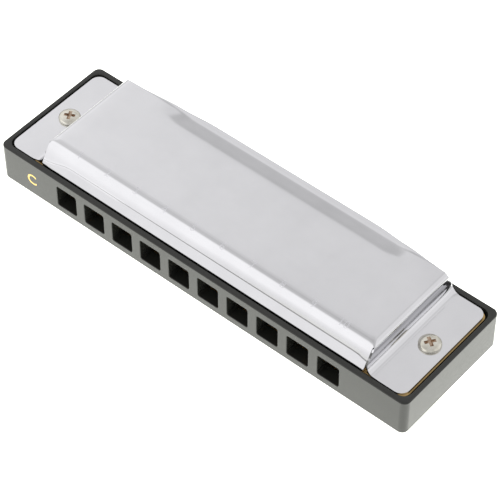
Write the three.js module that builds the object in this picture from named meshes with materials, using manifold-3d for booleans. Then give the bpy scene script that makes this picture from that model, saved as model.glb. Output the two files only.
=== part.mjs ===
// A ten-hole diatonic harmonica, built as it comes apart on a bench: a moulded comb, two brass reed
// plates with twenty riveted reeds, two stamped steel covers, and the screws and nuts that hold them.
//
// Millimetres. X runs along the row of holes from hole 1 (-X) to hole 10 (+X), -Y is the mouth side
// and +Z is up. The origin is under the middle of the comb, on the flat top of the lower cover,
// which is the face the instrument lies on.

import * as THREE from 'three';
import { mergeVertices } from 'three/addons/utils/BufferGeometryUtils.js';
import Module from 'manifold-3d';

const wasm = await Module();
wasm.setup();

// ---------------------------------------------------------------- driving dimensions

const HOLES = 10;
const HOLE_PITCH = 7.5;
const HOLE_WIDTH = 5.24;
const HOLE_HEIGHT = 5.34;
const HOLE_CORNER = 0.45;

const COMB_LENGTH = 104;
const COMB_DEPTH = 29.5;
const COMB_HEIGHT = 9.1;
const COMB_CORNER = 1.5;
const COMB_EDGE = 0.25; // chamfer round the outer top and bottom edges
const RIM_END = 1.05; // rim left standing at the two ends of each recess
const RIM_SIDE = 1.25; // and along the mouth side and the rear
const RECESS_DEPTH = 1.7;
const RECESS_CORNER = 2;
const MOUTH_WALL = 3; // wall between the mouth face and the chambers
const MOUTH_OVERLAP = 0.5; // length that a mouth hole runs on into its chamber
const CHAMBER_EASE = 0.05; // step from the side of a mouth hole out to the side of its chamber
const CHAMBER_TAIL = 1; // room behind the longest swing of a reed's tip

const COVER_RISE = 4.9; // top of a cover above the comb's rim
const SHEET = 0.35; // thickness of the cover sheet
const COVER_WALL_X = 41.55; // outer face of a cover's end wall
const COVER_CREST = 1.25; // radius from the flat top into the end wall
const COVER_FILLET = 1.7; // radius from the end wall into the flange
const COVER_WALL_REAR_Y = 13.5; // rear edge of the end walls
const COVER_WALL_FOOT_Y = 12.7; // and where they stop beside the rear rim
const COVER_WALL_FOOT = 0.9; // height above the rim up to which they stop short there
const FLANGE_END_X = 50.4;
const FLANGE_SIDE_Y = 13.2;
const COVER_PLAY = -0.3; // the cover sits this far off centre, within its screw clearance
const SEAM = 0.25; // open seam between the front panel and the end walls
const WELD_STEP = 0.01; // the end walls lie this far inside the strip where they run together

const PLATE_THICKNESS = 0.95;
const PLATE_GAP = 0.5; // between a plate and the wall of its recess
const REED_WIDTH = 2.1;
const REED_THICKNESS = 0.2;
const REED_STANDOFF = 0.05; // under the face of the plate
const REED_SIDE_GAP = 0.15; // between a reed and its slot
const REED_TAPER = 0.05; // a reed is this much narrower at each side of its tip
const SLOT_START = 0.1; // from the hinge line to the near end of a slot
const LONGEST_REED = 16.5; // free length at hole 1
const SHORTEST_REED = 9.5; // and at hole 10
const HINGE_Y = -8.9; // where the free part of every reed begins
const HEEL_LENGTH = 2.3;
const RIVET_RADIUS = 0.45;
const RIVET_HEAD = 0.8;
const RIVET_HEAD_HEIGHT = 0.3;

const COVER_SCREW_X = 46.4;
const COVER_SCREW_RADIUS = 1;
const COVER_SCREW_HEAD = 2.3;
const COVER_SCREW_HEAD_HEIGHT = 0.95;
const NUT_ACROSS_FLATS = 4;
const NUT_HEIGHT = 1.6;
const PLATE_SCREW_RADIUS = 0.8;
const PLATE_SCREW_HEAD = 1.4;
const PLATE_SCREW_HEAD_HEIGHT = 0.7;
const PLATE_SCREW_BITE = 2.2; // length that turns into the comb
const SHANK_LAP = 0.1; // length of every shank inside its head
const PILOT_SPARE = 0.3; // depth of a pilot hole below its screw
const COVER_SCREW_CROSS = { reach: 1.05, width: 0.5, depth: 0.7 };
const PLATE_SCREW_CROSS = { reach: 0.65, width: 0.35, depth: 0.4 };
const PLATE_SCREW_PLACES = [[-39.2, -8], [-39.2, 8], [0, 10.6], [39.2, -8], [39.2, 8]];

const CLOSE_FIT = 0.05; // radial gap round a shank in its own thread or rivet hole
const LOOSE_FIT = 0.35; // radial gap round a cover screw where it only passes through
const PLATE_SCREW_FIT = 0.15; // and round a plate screw in its plate
const FACE_GAP = 0.02; // between faces that rest on each other
const BEYOND = 1; // how far a cutting tool reaches past the face it cuts

// ---------------------------------------------------------------- derived places

const MID_Z = COVER_RISE + COMB_HEIGHT / 2;
const RIM_Z = COMB_HEIGHT / 2; // from here on, heights are above the comb's middle plane
const CORE_Z = RIM_Z - RECESS_DEPTH;
const PLATE_Z = CORE_Z + FACE_GAP + PLATE_THICKNESS; // outer face of a reed plate
const FLANGE_Z = PLATE_Z + FACE_GAP + SHEET; // outer face of a cover's flange
const RECESS_X = COMB_LENGTH / 2 - RIM_END;
const RECESS_Y = COMB_DEPTH / 2 - RIM_SIDE;

const holeIndexes = Array.from({ length: HOLES }, (_, i) => i);
const holeX = (i) => (i - (HOLES - 1) / 2) * HOLE_PITCH;
const reedLength = (i) => LONGEST_REED * (SHORTEST_REED / LONGEST_REED) ** (i / (HOLES - 1));

// ---------------------------------------------------------------- shapes

// A closed three.js geometry as a solid that can be joined and cut.
function solid(geometry) {
  const bare = geometry.index ? geometry.toNonIndexed() : geometry.clone();
  bare.deleteAttribute('normal');
  bare.deleteAttribute('uv');
  const merged = mergeVertices(bare, 1e-5);
  return new wasm.Manifold(new wasm.Mesh({
    numProp: 3,
    vertProperties: new Float32Array(merged.attributes.position.array),
    triVerts: new Uint32Array(merged.index.array),
  }));
}

// A finished solid as a geometry for a mesh.
function geometryOf(manifold) {
  const { vertProperties, triVerts } = manifold.getMesh();
  const geometry = new THREE.BufferGeometry();
  geometry.setAttribute('position', new THREE.BufferAttribute(new Float32Array(vertProperties), 3));
  geometry.setIndex(new THREE.BufferAttribute(new Uint32Array(triVerts), 1));
  const flat = geometry.toNonIndexed();
  flat.computeVertexNormals();
  return flat;
}

const join = (solids) => solids.reduce((whole, next) => whole.add(next));
const cut = (whole, tools) => tools.reduce((rest, tool) => rest.subtract(tool), whole);

function box(x, y, z) {
  const geometry = new THREE.BoxGeometry(x[1] - x[0], y[1] - y[0], z[1] - z[0]);
  geometry.translate((x[0] + x[1]) / 2, (y[0] + y[1]) / 2, (z[0] + z[1]) / 2);
  return solid(geometry);
}

// An upright cylinder of n sides between two heights.
function post(x, y, radius, z, sides = 16) {
  const geometry = new THREE.CylinderGeometry(radius, radius, z[1] - z[0], sides);
  geometry.rotateX(Math.PI / 2);
  geometry.translate(x, y, (z[0] + z[1]) / 2);
  return solid(geometry);
}

// A rectangle with rounded corners, centred on a point.
function roundedRectangle(halfX, halfY, radius, x = 0, y = 0) {
  const shape = new THREE.Shape();
  shape.absarc(x + halfX - radius, y + halfY - radius, radius, 0, Math.PI / 2);
  shape.absarc(x - halfX + radius, y + halfY - radius, radius, Math.PI / 2, Math.PI);
  shape.absarc(x - halfX + radius, y - halfY + radius, radius, Math.PI, Math.PI * 1.5);
  shape.absarc(x + halfX - radius, y - halfY + radius, radius, Math.PI * 1.5, Math.PI * 2);
  shape.closePath();
  return shape;
}

// A plan outline raised between two heights.
function raise(shape, z, curveSegments = 5) {
  const depth = z[1] - z[0];
  const geometry = new THREE.ExtrudeGeometry(shape, { depth, bevelEnabled: false, curveSegments });
  geometry.translate(0, 0, z[0]);
  return solid(geometry);
}

// An outline drawn in (y, z), run along X between two ends.
function runAlongX(points, x) {
  const shape = new THREE.Shape(points);
  const geometry = new THREE.ExtrudeGeometry(shape, { depth: x[1] - x[0], bevelEnabled: false });
  const turn = new THREE.Matrix4().makeBasis(
    new THREE.Vector3(0, 1, 0), new THREE.Vector3(0, 0, 1), new THREE.Vector3(1, 0, 0));
  geometry.applyMatrix4(turn);
  geometry.translate(x[0], 0, 0);
  return solid(geometry);
}

// An outline drawn in (x, z), run along Y between two ends.
function runAlongY(points, y) {
  const shape = new THREE.Shape(points);
  const geometry = new THREE.ExtrudeGeometry(shape, { depth: y[1] - y[0], bevelEnabled: false });
  geometry.rotateX(Math.PI / 2);
  geometry.translate(0, y[1], 0);
  return solid(geometry);
}

// Points on an arc, angles in degrees.
function arc(cx, cy, radius, from, to, steps = 4) {
  return Array.from({ length: steps + 1 }, (_, i) => {
    const angle = THREE.MathUtils.degToRad(from + (to - from) * i / steps);
    return new THREE.Vector2(cx + radius * Math.cos(angle), cy + radius * Math.sin(angle));
  });
}

// A sheet of even thickness whose outer face follows a line, with the metal on the line's right.
function sheetOutline(line, thickness) {
  const inner = line.map((point, i) => {
    const before = line[Math.max(i - 1, 0)];
    const after = line[Math.min(i + 1, line.length - 1)];
    const into = (i > 0 ? point.clone().sub(before) : after.clone().sub(point)).normalize();
    const out = (i < line.length - 1 ? after.clone().sub(point) : point.clone().sub(before)).normalize();
    const along = into.clone().add(out).normalize();
    const reach = thickness / Math.max(along.dot(into), 0.5);
    return new THREE.Vector2(point.x + along.y * reach, point.y - along.x * reach);
  });
  return [...line, ...inner.reverse()];
}

// ---------------------------------------------------------------- comb

// One side of the comb from its middle plane up: the block with its rim and its recess.
function combBlock() {
  const halfX = COMB_LENGTH / 2;
  const halfY = COMB_DEPTH / 2;
  const body = raise(roundedRectangle(halfX, halfY, COMB_CORNER), [-RIM_Z + COMB_EDGE, RIM_Z - COMB_EDGE]);
  const inset = roundedRectangle(halfX - COMB_EDGE, halfY - COMB_EDGE, COMB_CORNER - COMB_EDGE);
  const block = body.add(raise(inset, [-RIM_Z, RIM_Z]));
  const recess = roundedRectangle(RECESS_X, RECESS_Y, RECESS_CORNER);
  return cut(block, [
    raise(recess, [CORE_Z, RIM_Z + BEYOND]),
    raise(recess, [-RIM_Z - BEYOND, -CORE_Z]),
  ]);
}

// The way in through the mouth wall, and the chamber behind it, open to both reed plates.
function chamber(i) {
  const mouthY = -COMB_DEPTH / 2;
  const mouth = roundedRectangle(HOLE_WIDTH / 2, HOLE_HEIGHT / 2, HOLE_CORNER, holeX(i));
  const wayY = [mouthY - BEYOND, mouthY + MOUTH_WALL + MOUTH_OVERLAP];
  const way = runAlongY(mouth.getPoints(1).slice(0, -1), wayY);
  const half = HOLE_WIDTH / 2 + CHAMBER_EASE;
  const x = [holeX(i) - half, holeX(i) + half];
  const y = [mouthY + MOUTH_WALL, HINGE_Y + reedLength(i) + CHAMBER_TAIL];
  return way.add(box(x, y, [-CORE_Z - BEYOND, CORE_Z + BEYOND]));
}

function comb() {
  const pilotRadius = PLATE_SCREW_RADIUS + CLOSE_FIT;
  const pilotDepth = PLATE_SCREW_BITE + PILOT_SPARE;
  const pilots = PLATE_SCREW_PLACES.flatMap(([x, y]) => [
    post(x, y, pilotRadius, [CORE_Z - pilotDepth, CORE_Z + BEYOND], 12),
    post(x, y, pilotRadius, [-CORE_Z - BEYOND, -CORE_Z + pilotDepth], 12),
  ]);
  const bores = [-1, 1].map((side) => (
    post(side * COVER_SCREW_X, 0, COVER_SCREW_RADIUS + LOOSE_FIT, [-RIM_Z, RIM_Z])));
  return cut(combBlock(), [...holeIndexes.map(chamber), ...pilots, ...bores]);
}

// ---------------------------------------------------------------- reed plates and reeds

const inPlate = (side) => (side > 0 ? [CORE_Z + FACE_GAP, PLATE_Z] : [-PLATE_Z, -CORE_Z - FACE_GAP]);

// Both plates carry their reeds on the lower face: in the chambers above, in the open below.
const reedFace = (side) => inPlate(side)[0];

function reedPlate(side) {
  const z = [inPlate(side)[0] - BEYOND, inPlate(side)[1] + BEYOND];
  const [halfX, halfY] = [RECESS_X - PLATE_GAP, RECESS_Y - PLATE_GAP];
  const outline = roundedRectangle(halfX, halfY, RECESS_CORNER - PLATE_GAP);
  const slots = holeIndexes.map((i) => box(
    [holeX(i) - REED_WIDTH / 2 - REED_SIDE_GAP, holeX(i) + REED_WIDTH / 2 + REED_SIDE_GAP],
    [HINGE_Y + SLOT_START, HINGE_Y + reedLength(i) + REED_SIDE_GAP], z));
  const rivets = holeIndexes.map((i) => (
    post(holeX(i), HINGE_Y - HEEL_LENGTH / 2, RIVET_RADIUS + CLOSE_FIT, z, 10)));
  const clearance = PLATE_SCREW_RADIUS + PLATE_SCREW_FIT;
  const screws = PLATE_SCREW_PLACES.map(([x, y]) => post(x, y, clearance, z, 12));
  const bores = [-1, 1].map((end) => post(end * COVER_SCREW_X, 0, COVER_SCREW_RADIUS + LOOSE_FIT, z));
  return cut(raise(outline, inPlate(side)), [...slots, ...rivets, ...screws, ...bores]);
}

// The riveted end of a reed: the pad under the plate, and the rivet through both.
function reedHeel(i, side) {
  const top = reedFace(side) - REED_STANDOFF;
  const bottom = top - REED_THICKNESS * 2;
  const y = HINGE_Y - HEEL_LENGTH / 2;
  const x = [holeX(i) - REED_WIDTH / 2, holeX(i) + REED_WIDTH / 2];
  const pad = box(x, [HINGE_Y - HEEL_LENGTH, HINGE_Y - REED_STANDOFF], [bottom, top]);
  const spread = inPlate(side)[1] + FACE_GAP;
  return join([
    pad,
    post(holeX(i), y, RIVET_RADIUS, [bottom - RIVET_HEAD_HEIGHT, spread + RIVET_HEAD_HEIGHT], 10),
    post(holeX(i), y, RIVET_HEAD, [bottom - RIVET_HEAD_HEIGHT, bottom + REED_THICKNESS], 10),
    post(holeX(i), y, RIVET_HEAD, [spread, spread + RIVET_HEAD_HEIGHT], 10),
  ]);
}

// The free tongue of a reed, slightly narrower at its tip.
function reedTongue(i, side) {
  const top = reedFace(side) - REED_STANDOFF;
  const root = REED_WIDTH / 2;
  const tip = root - REED_TAPER;
  const y = [HINGE_Y, HINGE_Y + reedLength(i)];
  const outline = new THREE.Shape([
    new THREE.Vector2(holeX(i) - root, y[0]),
    new THREE.Vector2(holeX(i) + root, y[0]),
    new THREE.Vector2(holeX(i) + tip, y[1]),
    new THREE.Vector2(holeX(i) - tip, y[1]),
  ]);
  return raise(outline, [top - REED_THICKNESS, top]);
}

// ---------------------------------------------------------------- covers

// The cover's outer face, as (y, height above the rim): a straight foot, a leaning skirt up to the
// crease, the front bend, the flat top, and two soft folds down to the rear lip.
const FOOT_CLEARANCE = 0.05; // between the foot and the reed plate
const FRONT_BEND = new THREE.CubicBezierCurve(
  new THREE.Vector2(-11.92, 2.02), new THREE.Vector2(-11, 3.6),
  new THREE.Vector2(-10.2, COVER_RISE), new THREE.Vector2(-8.8, COVER_RISE));
const COVER_SECTION = [
  new THREE.Vector2(-13.19, PLATE_Z - RIM_Z + FOOT_CLEARANCE),
  new THREE.Vector2(-13.19, 0),
  ...FRONT_BEND.getPoints(7),
  new THREE.Vector2(8.95, COVER_RISE),
  new THREE.Vector2(12.3, 4.35),
  new THREE.Vector2(14.45, 3.78),
].map((point) => new THREE.Vector2(point.x, RIM_Z + point.y));

// The outer face of one end, from just inside the flat top out to the end of the flange, as (x, z).
const CREST_Z = RIM_Z + COVER_RISE - COVER_CREST - WELD_STEP;
const CREST_LAP = 0.2; // flat that an end wall keeps inside its crest
const COVER_END = [
  new THREE.Vector2(COVER_WALL_X - COVER_CREST - CREST_LAP, CREST_Z + COVER_CREST),
  ...arc(COVER_WALL_X - COVER_CREST, CREST_Z, COVER_CREST, 90, 0),
  ...arc(COVER_WALL_X + COVER_FILLET, FLANGE_Z + COVER_FILLET, COVER_FILLET, 180, 270),
  new THREE.Vector2(FLANGE_END_X, FLANGE_Z),
];

// Everything under an outer face, down past the plate.
const under = (line) => [...line, new THREE.Vector2(line.at(-1).x, 0), new THREE.Vector2(line[0].x, 0)];

// The front panel, top and rear lip, bent from one strip, short of the end walls by the seam.
function coverStrip() {
  const halfLength = COVER_WALL_X - SHEET - SEAM;
  return runAlongX(sheetOutline(COVER_SECTION, SHEET), [-halfLength, halfLength]);
}

// An end wall with its flange. The wall follows the strip's section and stands clear of the rear rim.
function coverEnd() {
  const sheet = runAlongY(sheetOutline(COVER_END, SHEET), [-FLANGE_SIDE_Y, COVER_WALL_REAR_Y]);
  const innerX = COVER_WALL_X - 2 * COVER_CREST;
  const filletEnd = COVER_WALL_X + COVER_FILLET;
  const section = COVER_SECTION.map((p) => new THREE.Vector2(p.x + WELD_STEP, p.y - WELD_STEP));
  const besideRim = box(
    [innerX, filletEnd], [COVER_WALL_FOOT_Y, COMB_DEPTH], [0, RIM_Z + COVER_WALL_FOOT]);
  const wall = sheet.intersect(runAlongX(under(section), [innerX, filletEnd])).subtract(besideRim);
  const corners = roundedRectangle(FLANGE_END_X, FLANGE_SIDE_Y, RECESS_CORNER);
  const flange = sheet
    .intersect(raise(corners, [0, RIM_Z]))
    .intersect(box([filletEnd - SHEET, COMB_LENGTH], [-COMB_DEPTH, COMB_DEPTH], [0, RIM_Z]));
  const bore = post(COVER_SCREW_X, 0, COVER_SCREW_RADIUS + LOOSE_FIT, [0, RIM_Z + BEYOND]);
  return wall.add(flange).subtract(bore);
}

function cover() {
  const end = coverEnd();
  return join([coverStrip(), end, end.mirror([1, 0, 0])]);
}

// ---------------------------------------------------------------- fasteners

// A cross recess cut into the top of a screw's head.
function crossRecess(x, y, top, { reach, width, depth }) {
  const z = [top - depth, top + BEYOND];
  return box([x - reach, x + reach], [y - width / 2, y + width / 2], z)
    .add(box([x - width / 2, x + width / 2], [y - reach, y + reach], z));
}

// A low domed head turned about the screw's axis, from its seat up.
function domedHead(x, y, radius, height, seat, sides) {
  const dome = [[0, 0], [radius, 0], [radius, height * 0.45], [radius * 0.85, height * 0.78],
    [radius * 0.55, height * 0.96], [0, height]].map(([r, z]) => new THREE.Vector2(r, z));
  const geometry = new THREE.LatheGeometry(dome, sides);
  geometry.rotateX(Math.PI / 2);
  geometry.translate(x, y, seat);
  return solid(geometry);
}

function coverScrew(side) {
  const x = side * COVER_SCREW_X;
  const seat = FLANGE_Z + FACE_GAP;
  const top = seat + COVER_SCREW_HEAD_HEIGHT;
  const head = domedHead(x, 0, COVER_SCREW_HEAD, COVER_SCREW_HEAD_HEIGHT, seat, 24);
  const shank = post(x, 0, COVER_SCREW_RADIUS, [-FLANGE_Z - FACE_GAP - NUT_HEIGHT, seat + SHANK_LAP]);
  return head.add(shank).subtract(crossRecess(x, 0, top, COVER_SCREW_CROSS));
}

function coverNut(side) {
  const x = side * COVER_SCREW_X;
  const radius = NUT_ACROSS_FLATS / Math.sqrt(3);
  const z = [-FLANGE_Z - FACE_GAP - NUT_HEIGHT, -FLANGE_Z - FACE_GAP];
  const bore = post(x, 0, COVER_SCREW_RADIUS + CLOSE_FIT, [z[0] - BEYOND, z[1] + BEYOND]);
  return post(x, 0, radius, z, 6).subtract(bore);
}

// Drawn for the upper plate; the lower plate's screws are the same, turned over.
function plateScrew([x, y]) {
  const seat = PLATE_Z + FACE_GAP;
  const top = seat + PLATE_SCREW_HEAD_HEIGHT;
  const head = domedHead(x, y, PLATE_SCREW_HEAD, PLATE_SCREW_HEAD_HEIGHT, seat, 12);
  const shank = post(x, y, PLATE_SCREW_RADIUS, [CORE_Z - PLATE_SCREW_BITE, seat + SHANK_LAP], 10);
  return head.add(shank).subtract(crossRecess(x, y, top, PLATE_SCREW_CROSS));
}

// ---------------------------------------------------------------- assembly

const surface = (color, roughness, metalness) => (
  new THREE.MeshStandardMaterial({ color, roughness, metalness }));

const blackPlastic = surface(0x1c1c1a, 0.35, 0);
const polishedSteel = surface(0xd9d8dc, 0.15, 1);
const plateBrass = surface(0xb59a5a, 0.35, 1);
const reedBrass = surface(0xcdb26a, 0.3, 1);
const nickelledSteel = surface(0xc9c6b8, 0.3, 1);

const harmonica = new THREE.Group();
harmonica.position.z = MID_Z; // everything above is drawn about the comb's middle plane

function place(name, manifold, material) {
  const mesh = new THREE.Mesh(geometryOf(manifold), material);
  mesh.name = name;
  harmonica.add(mesh);
  return mesh;
}

const turnedOver = (mesh) => mesh.rotateY(Math.PI);

place('comb', comb(), blackPlastic);
place('upper_reed_plate', reedPlate(1), plateBrass);
place('lower_reed_plate', reedPlate(-1), plateBrass);

place('upper_cover', cover(), polishedSteel).position.x = COVER_PLAY;
turnedOver(place('lower_cover', cover(), polishedSteel));

for (const [end, side] of [['left', -1], ['right', 1]]) {
  place(`cover_screw_${end}`, coverScrew(side), nickelledSteel);
  place(`cover_nut_${end}`, coverNut(side), nickelledSteel);
}

PLATE_SCREW_PLACES.forEach((spot, i) => {
  place(`upper_plate_screw_${i + 1}`, plateScrew(spot), nickelledSteel);
  turnedOver(place(`lower_plate_screw_${i + 1}`, plateScrew(spot), nickelledSteel));
});

for (const [kind, side] of [['blow', 1], ['draw', -1]]) {
  for (const i of holeIndexes) {
    place(`${kind}_reed_heel_${i + 1}`, reedHeel(i, side), reedBrass);
    place(`${kind}_reed_${i + 1}`, reedTongue(i, side), reedBrass);
  }
}

export default harmonica;
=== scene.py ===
"""A ten-hole diatonic harmonica lying on a pale floor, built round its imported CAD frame.

Shapes are worked out in millimetres in the frame's own axes: X along the holes, -Y the mouth side,
+Z up. Covers and text are drawn about the comb's middle plane and then put in place.
"""

import math

import bmesh
import bpy
import numpy as np
from mathutils import Matrix, Vector


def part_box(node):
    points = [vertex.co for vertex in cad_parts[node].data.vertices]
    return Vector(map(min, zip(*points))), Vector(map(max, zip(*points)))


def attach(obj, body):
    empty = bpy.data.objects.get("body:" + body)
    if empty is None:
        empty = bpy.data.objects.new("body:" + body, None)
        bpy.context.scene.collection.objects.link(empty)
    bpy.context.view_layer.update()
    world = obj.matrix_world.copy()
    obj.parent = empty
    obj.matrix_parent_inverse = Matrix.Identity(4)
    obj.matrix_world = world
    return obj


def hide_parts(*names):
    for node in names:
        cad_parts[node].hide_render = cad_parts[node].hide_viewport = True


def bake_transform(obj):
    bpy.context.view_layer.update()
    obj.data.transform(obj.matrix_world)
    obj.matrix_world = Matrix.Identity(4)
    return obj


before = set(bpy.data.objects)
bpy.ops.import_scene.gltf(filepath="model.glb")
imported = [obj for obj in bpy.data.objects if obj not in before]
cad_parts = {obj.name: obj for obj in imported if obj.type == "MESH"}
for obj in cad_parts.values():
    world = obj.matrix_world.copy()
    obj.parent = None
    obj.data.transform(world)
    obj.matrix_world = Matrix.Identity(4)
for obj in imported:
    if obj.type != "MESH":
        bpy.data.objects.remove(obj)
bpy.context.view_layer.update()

MM = 0.001
SCENE = bpy.context.scene
SCENE.view_settings.view_transform = "Standard"


def box_mm(node):
    """A CAD node's lowest and highest corners in millimetres."""
    low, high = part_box(node)
    return low / MM, high / MM


# ---------------------------------------------------------------- dimensions

GAP = 0.02  # between pieces that lie on one another
OVERCUT = 0.5  # how far a cutting tool stands out of the piece it cuts

HOLES = 10
HOLE_WIDTH = 5.24
HOLE_HEIGHT = 5.34
HOLE_CORNER = 0.45
HOLE_LIP = 0.16  # rounding where a mouth hole meets the mouth face
MOUTH_WALL = 3.0
CHAMBER_SPREAD = 0.05  # by which a chamber is wider than its hole, on each side
CHAMBER_REAR = 1.0  # from a blow reed's tip to the rear of its chamber
CHAMBER_CORNER = 0.5

COMB_LOW, COMB_HIGH = box_mm("comb")
HALF_X, HALF_Y = COMB_HIGH.x, COMB_HIGH.y
MID_Z = (COMB_LOW.z + COMB_HIGH.z) / 2
RIM_Z = COMB_HIGH.z - MID_Z
COMB_CORNER = 1.5  # radius of the outline's corners
COMB_EDGE = 0.32  # rounding along the outer edges
RIM_END = 1.05  # the rim's width at the ends
RIM_SIDE = 1.25  # and along the sides
RIM_INNER_EDGE = 0.14
RECESS_CORNER = 2.0
RECESS_FOOT = 0.18  # slope between the recess's wall and its floor

PLATE_LOW, PLATE_HIGH = box_mm("upper_reed_plate")
CORE_Z = PLATE_LOW.z - MID_Z - GAP
PLATE_TOP = PLATE_HIGH.z - MID_Z

COVER_LOW, COVER_HIGH = box_mm("upper_cover")
RISE = COVER_HIGH.z - COMB_HIGH.z
COVER_SHIFT = (COVER_LOW.x + COVER_HIGH.x) / 2
FLANGE_END = (COVER_HIGH.x - COVER_LOW.x) / 2
SHEET = 0.35
FLANGE_H = PLATE_TOP + GAP + SHEET - RIM_Z  # heights called h are above the comb's rim
FLANGE_FRONT = -13.07
FLANGE_REAR = 13.25
WALL_X = 41.55
CREST = 1.6  # how far in from an end wall its turn into the top starts
CREST_HEIGHT = 1.15  # and how far down the wall it ends
FILLET = 1.7  # radius where an end wall meets its flange

SCREW_LOW, SCREW_HIGH = box_mm("cover_screw_right")
SCREW_X = (SCREW_LOW.x + SCREW_HIGH.x) / 2
SCREW_HEAD = (SCREW_HIGH.x - SCREW_LOW.x) / 2
SCREW_BORE = 1.35
PLATE_SCREW_BORE = 0.85
PLATE_SCREW_DEPTH = 2.5


# ---------------------------------------------------------------- mesh helpers


def lerp(a, b, t):
    """The value a share t of the way from a to b."""
    return a + (b - a) * t


def smooth(t):
    """A share eased at both ends and kept within 0..1."""
    t = min(max(t, 0.0), 1.0)
    return t * t * (3 - 2 * t)


def quarter_turn(steps):
    """Angles from 0 to 90 degrees."""
    return [math.pi / 2 * k / steps for k in range(steps + 1)]


def hole_x(i):
    """The middle of mouth hole i, counted from 0 at the left."""
    low, high = box_mm(f"blow_reed_{i + 1}")
    return (low.x + high.x) / 2


def rounded_rectangle(half_a, half_b, radius, steps=6):
    """Points round a rectangle with rounded corners, counterclockwise."""
    radius = max(radius, 1e-4)
    points = []
    for quarter, (sa, sb) in enumerate(((1, 1), (-1, 1), (-1, -1), (1, -1))):
        for k in range(steps + 1):
            angle = math.pi / 2 * (quarter + k / steps)
            points.append((sa * (half_a - radius) + radius * math.cos(angle),
                           sb * (half_b - radius) + radius * math.sin(angle)))
    return points


def loft(rings):
    """A closed bmesh through rings of equal length, with a flat cap at each end."""
    bm = bmesh.new()
    rows = [[bm.verts.new(p) for p in ring] for ring in rings]
    for low, high in zip(rows, rows[1:]):
        for k in range(len(low)):
            n = (k + 1) % len(low)
            bm.faces.new((low[k], low[n], high[n], high[k]))
    bm.faces.new(rows[0][::-1])
    bm.faces.new(rows[-1])
    bmesh.ops.recalc_face_normals(bm, faces=bm.faces)
    return bm


def turned(profile, x, y, sides=48):
    """A closed bmesh turned about an upright axis at x, y from (radius, z) pairs."""
    rings = []
    for radius, z in profile:
        rings.append([(x + radius * math.cos(2 * math.pi * k / sides),
                       y + radius * math.sin(2 * math.pi * k / sides), z) for k in range(sides)])
    return loft(rings)


def upright_tool(x, y, radius, z0, z1, sides=24):
    """An upright cylinder to cut with."""
    return turned([(radius, z0), (radius, z1)], x, y, sides)


def grid_faces(bm, rows):
    """Quads between rows of vertices of equal length."""
    for low, high in zip(rows, rows[1:]):
        for k in range(len(low) - 1):
            bm.faces.new((low[k], low[k + 1], high[k + 1], high[k]))


def merge(*parts):
    """One bmesh from several."""
    whole = bmesh.new()
    for part in parts:
        mesh = bpy.data.meshes.new("part")
        part.to_mesh(mesh)
        part.free()
        whole.from_mesh(mesh)
        bpy.data.meshes.remove(mesh)
    return whole


def scaled_object(name, bm):
    """An object in metres from a bmesh in millimetres, which is used up."""
    bmesh.ops.scale(bm, vec=(MM, MM, MM), verts=bm.verts)
    mesh = bpy.data.meshes.new(name)
    bm.to_mesh(mesh)
    bm.free()
    obj = bpy.data.objects.new(name, mesh)
    SCENE.collection.objects.link(obj)
    return obj


def settle(obj):
    """Bakes the object's modifiers into its mesh."""
    graph = bpy.context.evaluated_depsgraph_get()
    mesh = bpy.data.meshes.new_from_object(obj.evaluated_get(graph))
    obj.modifiers.clear()
    obj.data = mesh


def carve(obj, cutter_bm):
    """Cuts a shape out of an object."""
    cutter = scaled_object("cutter", cutter_bm)
    cut = obj.modifiers.new("cut", "BOOLEAN")
    cut.operation = "DIFFERENCE"
    cut.solver = "EXACT"
    cut.object = cutter
    settle(obj)
    bpy.data.objects.remove(cutter)


def dress(obj, material, replaces=(), body="root", crisp=32):
    """Gives a piece its shading, material, slot and body."""
    obj.data.shade_smooth()
    obj.data.set_sharp_from_angle(angle=math.radians(crisp))
    obj.data.materials.clear()
    obj.data.materials.append(material)
    if replaces:
        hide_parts(*replaces)
    if body:
        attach(obj, body)


def even_normals(obj):
    """Shades flat faces flat beside narrow rounded ones."""
    level = obj.modifiers.new("even_normals", "WEIGHTED_NORMAL")
    level.keep_sharp = True


def soften(obj, width, angle):
    """Rounds an object's edges that are sharper than an angle, by a bevel that stays live."""
    bevel = obj.modifiers.new("soft_edges", "BEVEL")
    bevel.width = width * MM
    bevel.segments = 2
    bevel.limit_method = "ANGLE"
    bevel.angle_limit = math.radians(angle)
    even_normals(obj)


# ---------------------------------------------------------------- materials


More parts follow.
